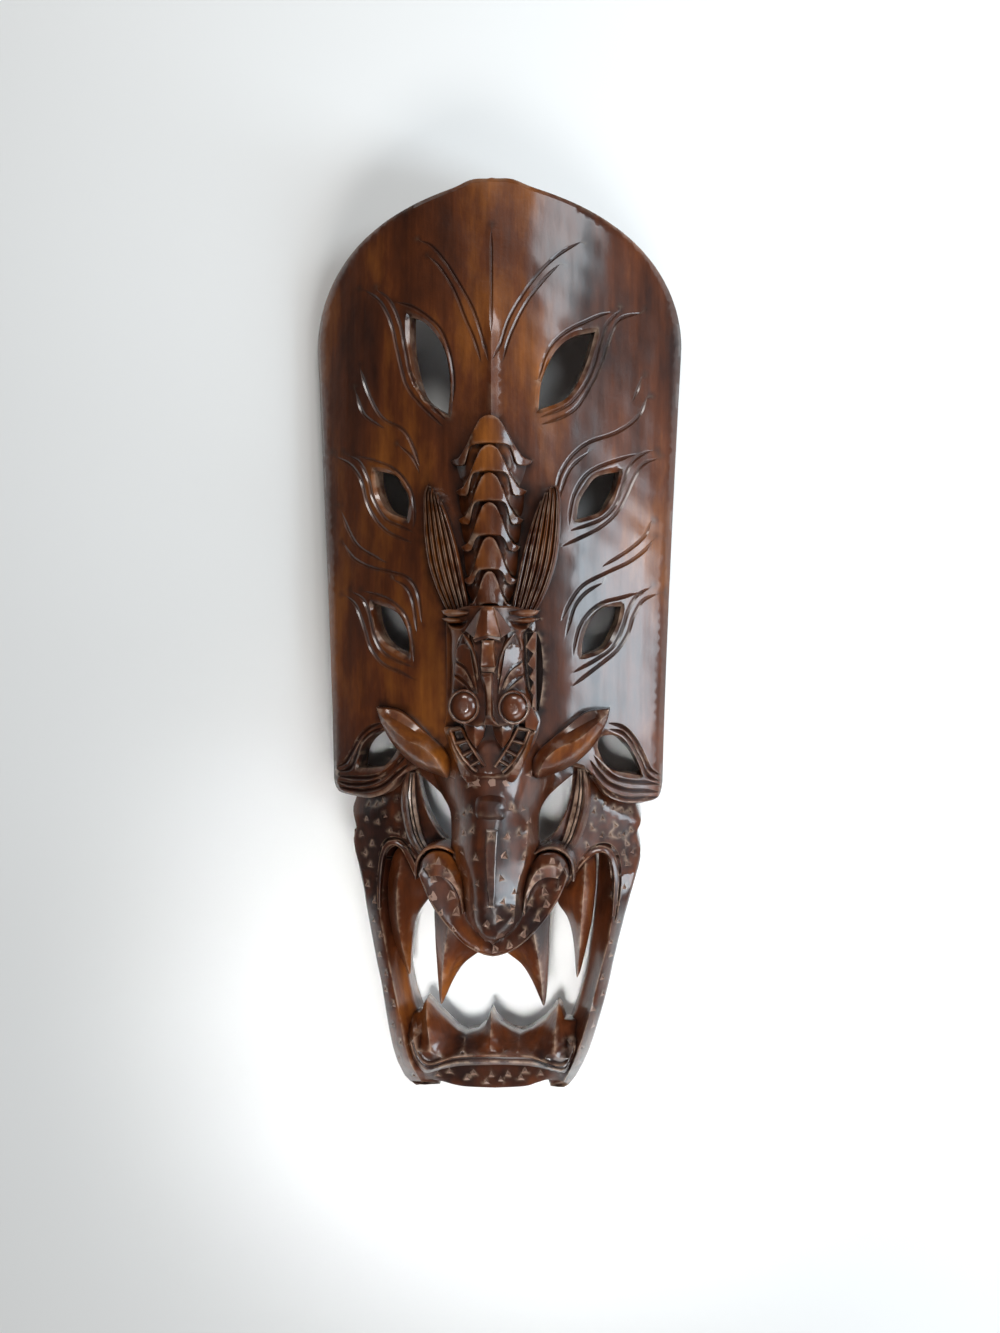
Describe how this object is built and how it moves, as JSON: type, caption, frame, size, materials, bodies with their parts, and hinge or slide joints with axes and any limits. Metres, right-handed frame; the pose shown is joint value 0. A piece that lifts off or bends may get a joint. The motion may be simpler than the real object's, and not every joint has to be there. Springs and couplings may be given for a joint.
{
  "type": "dragon mask",
  "caption": "Tall carved wooden wall mask: a pierced arched back panel over a dragon's head with an open fanged mouth, and a smaller dragon down its middle.",
  "frame": {"origin": "centre of the flat back plane, under the middle of the mask's height and width", "axes": "+X to the viewer's right, +Y up the mask from chin to top, +Z out of its face"},
  "size_m": [0.36, 0.88, 0.165],
  "materials": {
    "lacquered_wood": "dark red-brown wood, lacquered, worn pale on the cut edges"
  },
  "bodies": {
    "root": {"mask": "lacquered_wood"}
  },
  "joints": []
}
